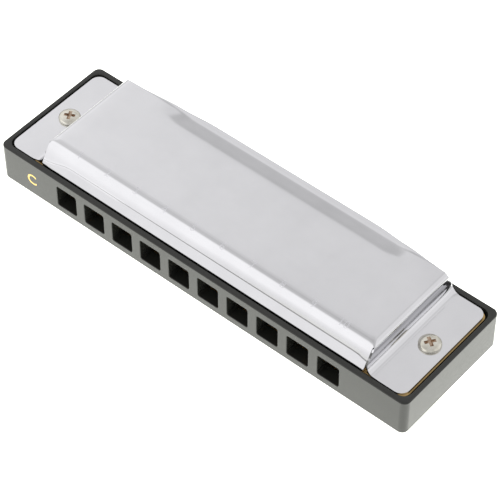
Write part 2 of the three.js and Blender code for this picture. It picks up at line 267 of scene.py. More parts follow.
class Surface:
    """A procedural material: a principled shader, with short calls for its texture nodes."""

    def __init__(self, name, **sockets):
        self.material = bpy.data.materials.new(name)
        self.material.use_nodes = True
        self.nodes = self.material.node_tree.nodes
        self.links = self.material.node_tree.links
        self.shader = self.nodes["Principled BSDF"]
        for key, value in sockets.items():
            self.shader.inputs[key.replace("_", " ")].default_value = value
        self.place = self.nodes.new("ShaderNodeTexCoord").outputs["Object"]

    def link(self, source, target):
        """Joins one node's output to another's input."""
        self.links.new(source, target)

    def stretched(self, scale, turn=(0, 0, 0)):
        """The object's own coordinates, scaled and turned."""
        node = self.nodes.new("ShaderNodeMapping")
        node.inputs["Scale"].default_value = scale
        node.inputs["Rotation"].default_value = turn
        self.link(self.place, node.inputs["Vector"])
        return node.outputs["Vector"]

    def noise(self, scale, detail=3.0, roughness=0.5, place=None):
        """A cloudy 0..1 pattern."""
        node = self.nodes.new("ShaderNodeTexNoise")
        node.inputs["Scale"].default_value = scale
        node.inputs["Detail"].default_value = detail
        node.inputs["Roughness"].default_value = roughness
        self.link(place or self.place, node.inputs["Vector"])
        return node.outputs["Fac"]

    def spread(self, source, low, high, start=0.3, end=0.7):
        """Maps a source that runs from start to end onto low to high."""
        node = self.nodes.new("ShaderNodeMapRange")
        node.inputs["From Min"].default_value = start
        node.inputs["From Max"].default_value = end
        node.inputs["To Min"].default_value = low
        node.inputs["To Max"].default_value = high
        self.link(source, node.inputs["Value"])
        return node.outputs["Result"]

    def colours(self, source, *stops):
        """A colour ramp from (position, colour) stops."""
        node = self.nodes.new("ShaderNodeValToRGB")
        ramp = node.color_ramp
        while len(ramp.elements) < len(stops):
            ramp.elements.new(0.5)
        for element, (position, colour) in zip(ramp.elements, stops):
            element.position = position
            element.color = (*colour, 1)
        self.link(source, node.inputs["Fac"])
        return node.outputs["Color"]

    def add(self, a, b):
        """The sum of two sources."""
        node = self.nodes.new("ShaderNodeMath")
        node.operation = "ADD"
        self.link(a, node.inputs[0])
        self.link(b, node.inputs[1])
        return node.outputs["Value"]

    def bump(self, height, distance, strength, under=None):
        """A bumped normal, on top of another one if that is given."""
        node = self.nodes.new("ShaderNodeBump")
        node.inputs["Distance"].default_value = distance
        node.inputs["Strength"].default_value = strength
        self.link(height, node.inputs["Height"])
        if under is not None:
            self.link(under, node.inputs["Normal"])
        return node.outputs["Normal"]

    def use(self, **sources):
        """Links sources to the shader's sockets and hands back the finished material."""
        for key, source in sources.items():
            self.link(source, self.shader.inputs[key.replace("_", " ")])
        return self.material


def black_plastic():
    """Moulded black plastic with a very fine grain."""
    s = Surface("black_abs", Metallic=0.0, IOR=1.52)
    mottle = s.noise(180, 3, 0.5)
    grain = s.noise(5200, 2, 0.55)
    return s.use(
        Base_Color=s.colours(mottle, (0.3, (0.019, 0.0196, 0.0168)),
                             (0.7, (0.024, 0.0247, 0.0215))),
        Roughness=s.spread(s.noise(900, 3), 0.20, 0.26),
        Normal=s.bump(grain, 0.000008, 0.4),
    )


def polished_steel():
    """Polished sheet steel: faint buffing marks along the cover, smears and slight waves."""
    s = Surface("polished_steel", Metallic=1.0)
    swirl = s.noise(1, 3, 0.6, s.stretched((90, 2600, 900)))
    fine = s.noise(1, 2, 0.5, s.stretched((240, 9000, 3000), (0, 0, 0.06)))
    smear = s.noise(120, 4, 0.6)
    wave = s.noise(70, 1, 0.4)
    scratches = s.bump(s.add(swirl, fine), 0.0000012, 0.5)
    return s.use(
        Base_Color=s.colours(smear, (0.25, (0.765, 0.765, 0.785)), (0.75, (0.82, 0.82, 0.84))),
        Roughness=s.add(s.spread(smear, 0.05, 0.10), s.spread(swirl, 0.0, 0.035)),
        Normal=s.bump(wave, 0.00003, 0.35, scratches),
    )


def brass(name, streaks, tones, roughness):
    """Brass streaked one way, stained between two tones."""
    s = Surface(name, Metallic=1.0)
    lines = s.noise(1, 4, 0.65, s.stretched(streaks))
    stain = s.noise(160, 5, 0.65)
    return s.use(
        Base_Color=s.colours(stain, (0.3, tones[0]), (0.7, tones[1])),
        Roughness=s.add(s.spread(stain, roughness, roughness + 0.14),
                        s.spread(lines, -0.05, 0.07)),
        Normal=s.bump(lines, 0.000006, 0.5),
    )


def nickel():
    """The screws' and nuts' slightly yellow nickel plating."""
    s = Surface("nickelled_screw", Metallic=1.0)
    stain = s.noise(900, 4, 0.6)
    return s.use(
        Base_Color=s.colours(stain, (0.3, (0.70, 0.67, 0.58)), (0.7, (0.86, 0.84, 0.76))),
        Roughness=s.spread(stain, 0.16, 0.30),
        Normal=s.bump(s.noise(2600, 3), 0.00001, 0.5),
    )


def recess_shade():
    """The worn, brown oxidised metal inside a screw's cross recess, darkened as painted shade."""
    s = Surface("screw_recess", Metallic=1.0)
    oxide_shade_mottle = s.noise(2400, 4, 0.6)
    return s.use(
        Base_Color=s.colours(oxide_shade_mottle, (0.3, (0.32, 0.21, 0.14)), (0.7, (0.78, 0.63, 0.49))),
        Roughness=s.spread(oxide_shade_mottle, 0.28, 0.5),
    )


def gold_ink():
    """The hot-stamped gold of the key letter, slightly worn."""
    s = Surface("gold_ink", Metallic=0.85)
    wear = s.noise(2200, 4, 0.6)
    return s.use(
        Base_Color=s.colours(wear, (0.3, (0.62, 0.40, 0.10)), (0.7, (0.95, 0.72, 0.28))),
        Roughness=s.spread(wear, 0.28, 0.5),
        Normal=s.bump(wear, 0.00001, 0.4),
    )


def etched_steel():
    """The finely frosted steel of the hole numbers."""
    s = Surface("etched_steel", Metallic=1.0)
    grit = s.noise(9000, 2, 0.6)
    return s.use(
        Base_Color=s.colours(grit, (0.3, (0.72, 0.72, 0.75)), (0.7, (0.86, 0.86, 0.89))),
        Roughness=s.spread(grit, 0.34, 0.48),
    )


def drawn_steel():
    """The end walls, drawn down in the press: painted shade makes them less bright, and painted
    reflections make dark bands along their length, which also bump the surface slightly.
    """
    s = Surface("drawn_steel", Metallic=1.0)
    lines = s.noise(1, 2, 0.5, s.stretched((60, 30, 1500)))
    return s.use(
        Base_Color=s.colours(lines, (0.34, (0.28, 0.28, 0.29)), (0.5, (0.52, 0.52, 0.54)),
                             (0.72, (0.62, 0.62, 0.64))),
        Roughness=s.spread(lines, 0.08, 0.14),
        Normal=s.bump(lines, 0.000004, 0.4),
    )


def dull_steel(name, dark, light):
    """Dark, dull steel as painted shade: on the cut edges of the stamped sheet, where the seams
    and the gap at the rim fall dark, and at the bottom of the pressed crease.
    """
    s = Surface(name, Metallic=1.0)
    grit = s.noise(3000, 3, 0.6)
    return s.use(
        Base_Color=s.colours(grit, (0.3, (dark, dark, dark)), (0.7, (light, light, light))),
        Roughness=s.spread(grit, 0.4, 0.6),
    )


# the sheet's cut edges, darkened as painted shade for the dark seams and the gap at the rim
EDGE_PAINTED_SHADE = dull_steel("cut_edge_painted_shade", 0.10, 0.22)
# a darker strip as painted shade in the crease under the front bend
CREASE_PAINTED_SHADE = dull_steel("crease_painted_shade_steel", 0.40, 0.56)
# the end walls' steel: painted shade, with painted reflection bands along them
WALL_PAINTED_SHADE = drawn_steel()
BLACK = black_plastic()
STEEL = polished_steel()
# The plates' brass is toned darker than the reeds' as painted shade, for the strip that shows in
# the dark gap between the cover's flange and the rim.
PLATE_BRASS = brass("plate_brass", (40, 2400, 800),
                    ((0.42, 0.28, 0.11), (0.64, 0.46, 0.21)), 0.26)
REED_BRASS = brass("reed_brass", (2600, 60, 900),
                   ((0.66, 0.48, 0.19), (0.85, 0.66, 0.32)), 0.18)
NICKEL = nickel()
RECESS = recess_shade()
GOLD = gold_ink()
ETCHED = etched_steel()


# ---------------------------------------------------------------- comb


def plan_ring(inset_x, inset_y, corner, z):
    """A rounded rectangle inside the comb's outline, at a height above the middle plane."""
    points = rounded_rectangle(HALF_X - inset_x, HALF_Y - inset_y, corner, 8)
    return [(x, y, MID_Z + z) for x, y in points]


def comb_block():
    """The comb without its holes: outer wall, rounded rim and recess, above and below alike."""
    upper = [plan_ring(0, 0, COMB_CORNER, 0)]
    for angle in quarter_turn(5):
        inset = COMB_EDGE * (1 - math.cos(angle))
        upper.append(plan_ring(inset, inset, COMB_CORNER - inset,
                               RIM_Z - COMB_EDGE * (1 - math.sin(angle))))
    for angle in quarter_turn(3):
        back = RIM_INNER_EDGE * (1 - math.sin(angle))
        upper.append(plan_ring(RIM_END - back, RIM_SIDE - back, RECESS_CORNER + back,
                               RIM_Z - RIM_INNER_EDGE * (1 - math.cos(angle))))
    upper.append(plan_ring(RIM_END, RIM_SIDE, RECESS_CORNER, CORE_Z + RECESS_FOOT))
    upper.append(plan_ring(RIM_END + RECESS_FOOT, RIM_SIDE + RECESS_FOOT,
                           RECESS_CORNER - RECESS_FOOT, CORE_Z))
    lower = [[(x, y, 2 * MID_Z - z) for x, y, z in ring] for ring in upper[:0:-1]]
    return loft(lower + upper)


def mouth_tool(i):
    """The way in through the mouth wall, with its rounded lip."""
    into_chamber = 0.4

    def ring(y, grow):
        points = rounded_rectangle(HOLE_WIDTH / 2 + grow, HOLE_HEIGHT / 2 + grow,
                                   HOLE_CORNER + grow, 5)
        return [(hole_x(i) + a, y, MID_Z + b) for a, b in points]

    rings = [ring(-HALF_Y - OVERCUT, HOLE_LIP)]
    for angle in quarter_turn(4):
        rings.append(ring(-HALF_Y + HOLE_LIP * (1 - math.cos(angle)),
                          HOLE_LIP * (1 - math.sin(angle))))
    rings.append(ring(-HALF_Y + MOUTH_WALL + into_chamber, 0))
    return loft(rings)


def chamber_tool(i):
    """The chamber behind a mouth hole, open to both reed plates."""
    reed_high = box_mm(f"blow_reed_{i + 1}")[1]
    y0, y1 = -HALF_Y + MOUTH_WALL, reed_high.y + CHAMBER_REAR
    points = rounded_rectangle(HOLE_WIDTH / 2 + CHAMBER_SPREAD, (y1 - y0) / 2, CHAMBER_CORNER, 4)
    return loft([[(hole_x(i) + a, (y0 + y1) / 2 + b, MID_Z + side * (CORE_Z + OVERCUT))
                  for a, b in points] for side in (-1, 1)])


def plate_screw_places():
    """(x, y) of the screws that hold each reed plate."""
    places = []
    for n in range(1, 6):
        low, high = box_mm(f"upper_plate_screw_{n}")
        places.append(((low.x + high.x) / 2, (low.y + high.y) / 2))
    return places


def build_comb():
    """The comb with its mouth holes, chambers and screw holes."""
    comb = scaled_object("comb_body", comb_block())
    carve(comb, merge(*[mouth_tool(i) for i in range(HOLES)]))
    tools = [chamber_tool(i) for i in range(HOLES)]
    reach = 5  # past both faces of the comb
    tools += [upright_tool(side * SCREW_X, 0, SCREW_BORE, MID_Z - reach, MID_Z + reach)
              for side in (-1, 1)]
    for x, y in plate_screw_places():
        for side in (-1, 1):
            ends = sorted((MID_Z + side * (CORE_Z - PLATE_SCREW_DEPTH),
                           MID_Z + side * (CORE_Z + OVERCUT)))
            tools.append(upright_tool(x, y, PLATE_SCREW_BORE, *ends, sides=16))
    carve(comb, merge(*tools))
    even_normals(comb)
    dress(comb, BLACK, ["comb"])


build_comb()


# ---------------------------------------------------------------- covers

CROWN = 0.05  # the top is very slightly crowned, so its bends start this much lower
BEND_TOP = RISE - CROWN
# The front bend is a Bezier curve through these (y, h), from the flat top to the crease.
FRONT_BEND = ((-8.8, BEND_TOP), (-10.2, BEND_TOP - 0.05), (-11.0, 3.6), (-11.92, 2.02))
CREASE_H = FRONT_BEND[3][1]
CREASE_FALL = 0.05
# By side, how the crease dips: depth, distance from the middle where it starts, run and power.
CREASE_DIPS = {-1: (1.1, 33.5, 7.5, 1.3), 1: (0.35, 38.5, 2.4, 1)}
LEDGE = (0.06, 0.25)  # how far the skirt stands out under the crease, left and right
LEDGE_LEFT = -44  # it widens from here
LEDGE_RUN = 80  # over this length
SKIRT_Y = -13.19  # the skirt leans out to here, level with the rim, then drops straight
SKIRT_LEAN = 0.575
SKIRT_FOOT = PLATE_TOP - RIM_Z + 0.05
PANEL_END = {-1: 41.35, 1: 41.08}  # by side; the pressing sits closer to its left end wall
PANEL_CORNER = 0.8  # rounding of the front panel's lower corners, sideways
PANEL_CORNER_HEIGHT = 1.3  # and upwards
TOP_CORNER = 1.0  # plan radius of the dome's front corners at the top
SEAM_CORNER = 0.35  # and where the seams open
SEAM_T = 0.46  # place on the front bend where the end seams open
SEAM_GAP = 0.15  # between the left end wall and the front panel's sheet
INNER_MARGIN = 3.0  # width of the band of rows round the flat top
WALL_FRONT_Y = -12.26  # the end wall's front edge where it leaves the front bend's curve
WALL_FRONT_H = 2.3  # and the height where it does
WALL_FRONT_LEAN = 0.315
WALL_REAR = 13.5  # the foot of the end wall
WALL_WAVE = 0.007  # faint ripple down the end wall
FLARE = 0.7  # the fillet opens by this much at the rear
FLARE_START = 12
FLARE_RUN = 1.5

REAR_CENTRE = 1.7  # the rear edge and its fold are symmetric about this x
REAR_EDGE = 14.45
REAR_BOW = 2.05  # how far the rear edge curves forward at its ends
REAR_STRAIGHT = 20  # half the straight stretch between its curves
REAR_RUN = 20
FOLD_HALF = 25.75  # half the fold's length before it fades
FOLD_FADE = 6.5
FOLD_START = 8.5  # the y where the top starts to fall
FOLD_WIDTH = 0.9  # over which the slope comes in
FOLD_SLOPE = 0.165
LIP_START = 12.3
LIP_WIDTH = (0.25, 0.6)  # at the ends and in the middle
LIP_SLOPE = 0.275  # of fold and lip together


def front_bend(t):
    """(y, h) on the curve from the flat top down to the crease."""
    shares = ((1 - t) ** 3, 3 * (1 - t) ** 2 * t, 3 * (1 - t) * t * t, t ** 3)
    return tuple(sum(w * p[axis] for w, p in zip(shares, FRONT_BEND)) for axis in (0, 1))


SEAM_Y, SEAM_H = front_bend(SEAM_T)


def skirt_y(h):
    """The skirt's y at height h."""
    return SKIRT_Y + SKIRT_LEAN * max(h, 0)


def crease_top(x):
    """Height of the crease under the front bend, which dips towards both ends."""
    top = CREASE_H
    for side, (depth, start, run, power) in CREASE_DIPS.items():
        top -= depth * smooth((side * x - start) / run) ** power
    return top


def front_point(x, t):
    """(y, h) on the front panel: t to 1 is down the bend, to 2 the crease, to 3 the skirt."""
    top = crease_top(x)
    ledge = lerp(*LEDGE, smooth((x - LEDGE_LEFT) / LEDGE_RUN))
    low = top - CREASE_FALL
    if t <= 1:
        y, h = front_bend(t)
        share = max(t - SEAM_T, 0) / (1 - SEAM_T)
        y += share ** 2 * (skirt_y(low) + ledge - FRONT_BEND[3][0])
        return y, h + share ** 2 * (top - CREASE_H)
    if t <= 2:
        return skirt_y(low) + ledge * (2 - t), lerp(top, low, t - 1)
    h = lerp(low, SKIRT_FOOT, t - 2)
    return skirt_y(h), h


def panel_x(share, t):
    """X on the front panel at a share -1..1 of its length; its lower corners are rounded."""
    end = PANEL_END[1 if share > 0 else -1]
    h = front_point(end * share, t)[1]
    down = min(max((SKIRT_FOOT + PANEL_CORNER_HEIGHT - h) / PANEL_CORNER_HEIGHT, 0), 1)
    blunt = 0.9  # the corner's arc ends a little before it would lie level
    return share * (end - PANEL_CORNER * (1 - math.sqrt(1 - down ** 2 * blunt)))


def ramp(y, start, width):
    """The integral of a smooth step from start over width."""
    t = (y - start) / width
    if t <= 0:
        return 0.0
    return width * (t ** 3 - t ** 4 / 2 if t < 1 else t - 0.5)


def rear_drop(x, y):
    """How far the top falls at its rear: a soft fold that stops short of the ends, then a lip."""
    middle = 1 - smooth((abs(x - REAR_CENTRE) - FOLD_HALF) / FOLD_FADE)
    fold = FOLD_SLOPE * middle * ramp(y, FOLD_START, FOLD_WIDTH)
    lip = (LIP_SLOPE - FOLD_SLOPE * middle) * ramp(y, LIP_START, lerp(*LIP_WIDTH, middle))
    return fold + lip


def rear_edge(x):
    """The rear edge's y, straight in the middle and curving forward at both ends."""
    return REAR_EDGE - REAR_BOW * smooth((abs(x - REAR_CENTRE) - REAR_STRAIGHT) / REAR_RUN)


def spaced(start, end, count, ease=0.0):
    """Values from start to end; ease above 0 crowds them towards both ends."""
    values = []
    for k in range(count + 1):
        t = k / count
        values.append(lerp(start, end, lerp(t, (1 - math.cos(math.pi * t)) / 2, ease)))
    return values


# Shares of the way from the rear edge to the front corner, closest over the fold and lip.
WALL_STEPS = [0, 0.012, 0.025, 0.045, 0.065, 0.085, 0.105, 0.125, 0.145, 0.165, 0.19, 0.22,
              0.27, 0.34, 0.42, 0.5, 0.58, 0.66, 0.74, 0.82, 0.88, 0.93, 0.97, 1]
FRONT_STEPS = spaced(-1, 1, 48, 0.45)
CORNER_STEPS = 6
# Values of front_point's t from the open seam down, closest where the crease and skirt turn.
PANEL_STEPS = [0.52, 0.58, 0.64, 0.7, 0.76, 0.82, 0.88, 0.94, 1,
               2, 2.16, 2.4, 2.6, 2.68, 2.73, 2.78, 2.85, 2.93, 3]


class DomeRow:
    """A level line of the dome: along the left wall, round the front and back along the right."""

    def __init__(self, half_x, front_y, corner, h):
        self.half_x, self.front_y, self.corner, self.h = half_x, front_y, corner, h

    def at(self, x, y):
        """The row's point at x, y, lowered where the top falls at its rear."""
        return (x, y, self.h - rear_drop(x, y))

    def wall(self, side):
        """Points from the rear forward to where the corner starts."""
        rear = rear_edge(side * self.half_x)
        end = self.front_y + self.corner
        return [self.at(side * self.half_x, lerp(rear, end, s)) for s in WALL_STEPS]

    def bend(self, side):
        """Points round the front corner, from the wall towards the front."""
        cx, cy = side * (self.half_x - self.corner), self.front_y + self.corner
        return [self.at(cx + side * self.corner * math.cos(a), cy - self.corner * math.sin(a))
                for a in quarter_turn(CORNER_STEPS)[1:-1]]

    def front(self):
        """Points along the front, from left to right."""
        reach = self.half_x - self.corner
        return [self.at(reach * s, self.front_y) for s in FRONT_STEPS]

    def whole(self):
        """The row's points from the left rear end to the right rear end."""
        left, right = self.wall(-1) + self.bend(-1), self.wall(1) + self.bend(1)
        return left + self.front() + right[::-1]


def crest_x(h):
    """The end wall's outer face at height h; it turns into the top over a flattened round."""
    rise = min(max((h - BEND_TOP) / CREST_HEIGHT + 1, 0), 1)
    return WALL_X - CREST + CREST * math.sqrt(1 - rise ** 2)


def dome_rows():
    """Rows from the flat top outwards, then over the crest and down to where the seams open."""
    rows = []
    flat, bent = 4, 10
    for k in range(flat + 1):
        inset = INNER_MARGIN * (flat - k) / flat
        rows.append(DomeRow(WALL_X - CREST - inset, FRONT_BEND[0][0] + inset,
                            max(TOP_CORNER - inset, 0.001),
                            lerp(RISE, BEND_TOP, (k / flat) ** 2)))
    for k in range(1, bent + 1):
        y, h = front_bend(SEAM_T * k / bent)
        corner = lerp(TOP_CORNER, SEAM_CORNER, smooth(k / bent) * 0.6 + 0.4 * k / bent)
        rows.append(DomeRow(crest_x(h), y, corner, h))
    return rows


def wall_front(h):
    """The front edge of the end wall and its fillet at height h, just proud of the front bend."""
    line = [front_bend(t) for t in np.linspace(SEAM_T, 1, 30)]
    on_bend = np.interp(-h, [-p[1] for p in line], [p[0] for p in line]) - 0.05
    if h >= WALL_FRONT_H:
        return on_bend
    return min(on_bend, WALL_FRONT_Y - WALL_FRONT_LEAN * (CREASE_H - h))


def fillet_at(y):
    """The radius where an end wall meets its flange, which opens towards the rear."""
    return FILLET + FLARE * smooth((y - FLARE_START) / FLARE_RUN)


def end_wall_rows(side):
    """Rows from under the open seam down the end wall, round its fillet and along the flange."""
    set_back = 0 if side > 0 else SHEET + SEAM_GAP  # keeps the left wall clear of the front panel
    reach = FLANGE_END - RECESS_CORNER
    rows = []

    def row(front, rear, place):
        ys = [lerp(rear, front, s) for s in WALL_STEPS]
        rows.append([(side * x, y, h) for x, y, h in map(place, ys)])

    for u in spaced(0, 1, 16)[1:]:
        h = lerp(SEAM_H, FLANGE_H + FILLET, u)
        wave = WALL_WAVE * math.sin(2 * math.pi * (u * 2.6 + 0.1))
        wave *= smooth(u * 4)
        wave *= smooth((1 - u) * 4)

        def on_wall(y):
            level = lerp(SEAM_H, FLANGE_H + fillet_at(y), u)
            return crest_x(level) + wave, y, level - (1 - u) * rear_drop(side * WALL_X, y)
        row(wall_front(h) + set_back * smooth(u / 0.15),
            lerp(rear_edge(side * WALL_X), WALL_REAR, smooth(u / 0.3)), on_wall)

    for k, angle in enumerate(quarter_turn(10)[1:], 1):
        def on_fillet(y):
            f = fillet_at(y)
            return WALL_X + f * (1 - math.cos(angle)), y, FLANGE_H + f * (1 - math.sin(angle))
        u = k / 10
        row(wall_front(FLANGE_H + FILLET * (1 - math.sin(angle))) + set_back * (1 - 0.7 * u),
            lerp(WALL_REAR, FLANGE_REAR, u), on_fillet)

    for u in (0.12, 0.3, 0.5, 0.75, 1):
        def on_flange(y):
            return lerp(WALL_X + fillet_at(y), reach, u), y, FLANGE_H
        row(lerp(wall_front(FLANGE_H), FLANGE_FRONT, min(u * 4, 1)), FLANGE_REAR, on_flange)

    for angle in quarter_turn(8)[1:]:
        def on_corner(y):
            return reach + RECESS_CORNER * math.sin(angle), y, FLANGE_H
        back = RECESS_CORNER * (1 - math.cos(angle))
        row(FLANGE_FRONT + back, FLANGE_REAR - back, on_corner)
    return rows


def cover_surface():
    """The cover's outer face as one open sheet, drawn about x = 0 and the comb's middle plane."""
    bm = bmesh.new()

    def row_of(points):
        """A row of vertices at points given as (x, y, h)."""
        return [bm.verts.new((x, y, RIM_Z + h)) for x, y, h in points]

    rows = dome_rows()
    inner = rows[0]
    reach = inner.half_x - inner.corner
    flat = []
    for s in WALL_STEPS:
        points = []
        for share in FRONT_STEPS:
            x = reach * share
            points.append(inner.at(x, lerp(rear_edge(x), inner.front_y + inner.corner, s)))
        flat.append(row_of(points))
    flat.append(row_of(inner.front()))
    grid_faces(bm, flat)
    grid_faces(bm, [row_of(row.whole()) for row in rows])

    seam = rows[-1]
    panel = [row_of(seam.front())]
    for t in PANEL_STEPS:
        points = []
        for share in FRONT_STEPS:
            x = panel_x(share, t)
            points.append((x, *front_point(x, t)))
        panel.append(row_of(points))
    grid_faces(bm, panel)

    for side in (-1, 1):
        grid_faces(bm, [row_of(points) for points in [seam.wall(side)] + end_wall_rows(side)])

    bmesh.ops.remove_doubles(bm, verts=bm.verts, dist=0.0005)
    bmesh.ops.recalc_face_normals(bm, faces=bm.faces)
    top = max(bm.faces, key=lambda f: f.calc_center_median().z)
    if top.normal.z < 0:
        bmesh.ops.reverse_faces(bm, faces=bm.faces)
    return bm


def sheet_finish(normal, x, y, h):
    """Which of the cover's materials a face of the sheet takes, placed as on the upper cover."""
    out, sideways, level = abs(x), abs(normal.x), abs(normal.z)
    near = 0.05  # a cut edge's faces lie this close to the outline
    panel_side = sideways > 0.9 and out < PANEL_END[-1] + near and y < SEAM_Y + 0.5
    wall_edge = normal.y < -0.8 and PANEL_END[1] < out < WALL_X and 0.3 < h < SEAM_H
    flange_side = level < 0.3 and out > FLANGE_END - near
    # The front panel's cut ends, the end walls' front edges and the flange's ends take dark steel
    # as painted shade, for the dark seams and the dark gap at the rim.
    if panel_side or wall_edge or flange_side:
        return EDGE_PAINTED_SHADE
    # The strip along the crease under the front bend takes darker steel as painted shade.
    if level > 0.7 and abs(h - crease_top(x)) < 0.15 and y < SKIRT_Y + 2:
        return CREASE_PAINTED_SHADE
    # The end walls' faces take steel with painted shade and painted reflection bands.
    if sideways > 0.87 and 1.2 < h < SEAM_H:
        return WALL_PAINTED_SHADE
    return STEEL


def build_cover(name, shift, turned_over):
    """A cover pressed from one sheet; the lower one is turned over about the comb's length."""
    bm = cover_surface()
    bmesh.ops.translate(bm, vec=(shift, 0, 0), verts=bm.verts)
    if turned_over:
        half_turn = Matrix.Rotation(math.pi, 3, "Y")
        bmesh.ops.rotate(bm, cent=(0, 0, 0), matrix=half_turn, verts=bm.verts)
    bmesh.ops.translate(bm, vec=(0, 0, MID_Z), verts=bm.verts)
    cover = scaled_object(f"{name}_shell", bm)
    shell = cover.modifiers.new("sheet", "SOLIDIFY")
    shell.thickness = SHEET * MM
    shell.offset = -1
    shell.use_even_offset = True
    shell.use_quality_normals = True
    settle(cover)
    near, far = 2, 6  # either side of the flange, from the middle plane
    ends = (MID_Z - far, MID_Z - near) if turned_over else (MID_Z + near, MID_Z + far)
    carve(cover, merge(*[upright_tool(side * SCREW_X, 0, SCREW_BORE, *ends, sides=32)
                         for side in (-1, 1)]))
    soften(cover, 0.035, 62)
    dress(cover, STEEL, [name])
    finishes = [STEEL, EDGE_PAINTED_SHADE, CREASE_PAINTED_SHADE, WALL_PAINTED_SHADE]
    for material in finishes[1:]:
        cover.data.materials.append(material)
    for face in cover.data.polygons:
        x, y, z = (c / MM for c in face.center)
        x = (x - shift) * (-1 if turned_over else 1)
        finish = sheet_finish(face.normal, x, y, abs(z - MID_Z) - RIM_Z)
        face.material_index = finishes.index(finish)


build_cover("upper_cover", COVER_SHIFT, False)
build_cover("lower_cover", 0, True)


# ---------------------------------------------------------------- fasteners

# A pan head's outline as shares of its radius and height, from its seat to the top's middle.
HEAD_OUTLINE = ((0.02, 0), (0.9, 0), (0.99, 0.1), (1, 0.2), (1, 0.34), (0.985, 0.46),
                (0.94, 0.6), (0.86, 0.73), (0.74, 0.84), (0.56, 0.93), (0.3, 0.985), (0.02, 1))
CROSS_REACH = 0.54  # the recess's arm, as a share of the head's radius
CROSS_WIDTH = 0.31
CROSS_DEPTH = 0.62  # as a share of the head's height
CROSS_TURN = {-1: 0.5, 1: 0.95}  # how far each cover screw's recess is turned, by side
COVER_SHANK = 1.0
PLATE_SHANK = 0.8
PLATE_HEAD = 1.4


def cross_tool(x, y, reach, width, top, depth, turn):
    """The two arms of a cross recess that tapers with depth."""
    arms = []
    for quarter in range(2):
        rings = []
        # (depth below the head's top, share of the full reach); the last is above the head
        for level, share in ((depth, 0.45), (0, 1.0), (-0.4, 1.35)):
            a, b = reach * share, width / 2 * (0.7 + 0.3 * share)
            angle = turn + quarter * math.pi / 2
            rings.append([(x + u * math.cos(angle) - v * math.sin(angle),
                           y + u * math.sin(angle) + v * math.cos(angle), top - level)
                          for u, v in ((a, b), (-a, b), (-a, -b), (a, -b))])
        arms.append(loft(rings))
    return arms


def build_screw(name, x, y, seat, radius, height, shank, foot, turn, below=False):
    """A pan-head screw; below turns it over about the comb's middle plane."""
    outline = [(radius * r, seat + height * z) for r, z in HEAD_OUTLINE]
    head = scaled_object(f"{name}_body", turned(outline, x, y))
    top = seat + height
    for arm in cross_tool(x, y, radius * CROSS_REACH, radius * CROSS_WIDTH, top,
                          height * CROSS_DEPTH, turn):
        carve(head, arm)
    stem = turned([(shank * 0.6, foot), (shank, foot + shank * 0.5), (shank, seat + 0.05)],
                  x, y, 24)
    bm = bmesh.new()
    bm.from_mesh(head.data)
    bmesh.ops.scale(bm, vec=(1 / MM,) * 3, verts=bm.verts)
    bpy.data.objects.remove(head)
    whole = merge(bm, stem)
    if below:
        bmesh.ops.rotate(whole, cent=(0, 0, MID_Z), matrix=Matrix.Rotation(math.pi, 3, "Y"),
                         verts=whole.verts)
    screw = scaled_object(f"{name}_body", whole)
    dress(screw, NICKEL, [name])
    screw.data.materials.append(RECESS)
    axis_x = -x if below else x
    lowest = abs(seat - MID_Z) + 0.02
    highest = abs(top - MID_Z) - height * 0.1
    # Faces inside the cross recess take the brown oxide, darkened as painted shade.
    for face in screw.data.polygons:
        c = face.center / MM
        inside = math.hypot(c.x - axis_x, c.y - y) < radius * 0.62
        if inside and lowest < abs(c.z - MID_Z) < highest:
            face.material_index = 1


for side_name, side in (("left", -1), ("right", 1)):
    head_seat = RIM_Z + FLANGE_H + GAP + MID_Z
    build_screw(f"cover_screw_{side_name}", side * SCREW_X, 0, head_seat, SCREW_HEAD,
                SCREW_HIGH.z - head_seat, COVER_SHANK, SCREW_LOW.z, CROSS_TURN[side])

for n, (place_x, place_y) in enumerate(plate_screw_places(), 1):
    low, high = box_mm(f"upper_plate_screw_{n}")
    for where, below in (("upper", False), ("lower", True)):
        build_screw(f"{where}_plate_screw_{n}", place_x, place_y, MID_Z + PLATE_TOP + GAP,
                    PLATE_HEAD, high.z - MID_Z - PLATE_TOP - GAP, PLATE_SHANK, low.z, 0.7 * n,
                    below)


def build_nut(name):
    """A hexagon nut, its corners to the front and rear, with chamfers outside and in its bore."""
    low, high = box_mm(name)
    x = (low.x + high.x) / 2
    flat, corner = (high.x - low.x) / 2, (high.y - low.y) / 2
    sides, sector = 48, math.pi / 3
    rings = []
    for z, trim in ((low.z, 0.9), (low.z + 0.22, 1.0), (high.z - 0.12, 1.0), (high.z, 0.95)):
        ring = []
        for k in range(sides):
            angle = 2 * math.pi * k / sides
            hexagon = flat / math.cos((angle + sector / 2) % sector - sector / 2)
            radius = min(hexagon, corner * trim)
            ring.append((x + radius * math.cos(angle), radius * math.sin(angle), z))
        rings.append(ring)
    nut = scaled_object(f"{name}_body", loft(rings))
    mouth, bore, slope = SCREW_BORE, 1.08, 0.18
    carve(nut, turned([(mouth, low.z - 0.1), (bore, low.z + slope), (bore, high.z - slope),
                       (mouth, high.z + 0.1)], x, 0, 32))
    soften(nut, 0.05, 35)
    dress(nut, NICKEL, [name])


build_nut("cover_nut_left")
build_nut("cover_nut_right")


# ---------------------------------------------------------------- reeds and plates

PAD_THICK = 0.4
PAD_END_THICK = 0.36
TONGUE_THICK = 0.2
FILED = 0.09  # the most that is filed off a tongue, near its middle
HEAVY_TIPS = 4  # this many of the lowest reeds keep a thick tip
HEAVY_TIP_START = 0.82
REED_CHAMFER = 0.02


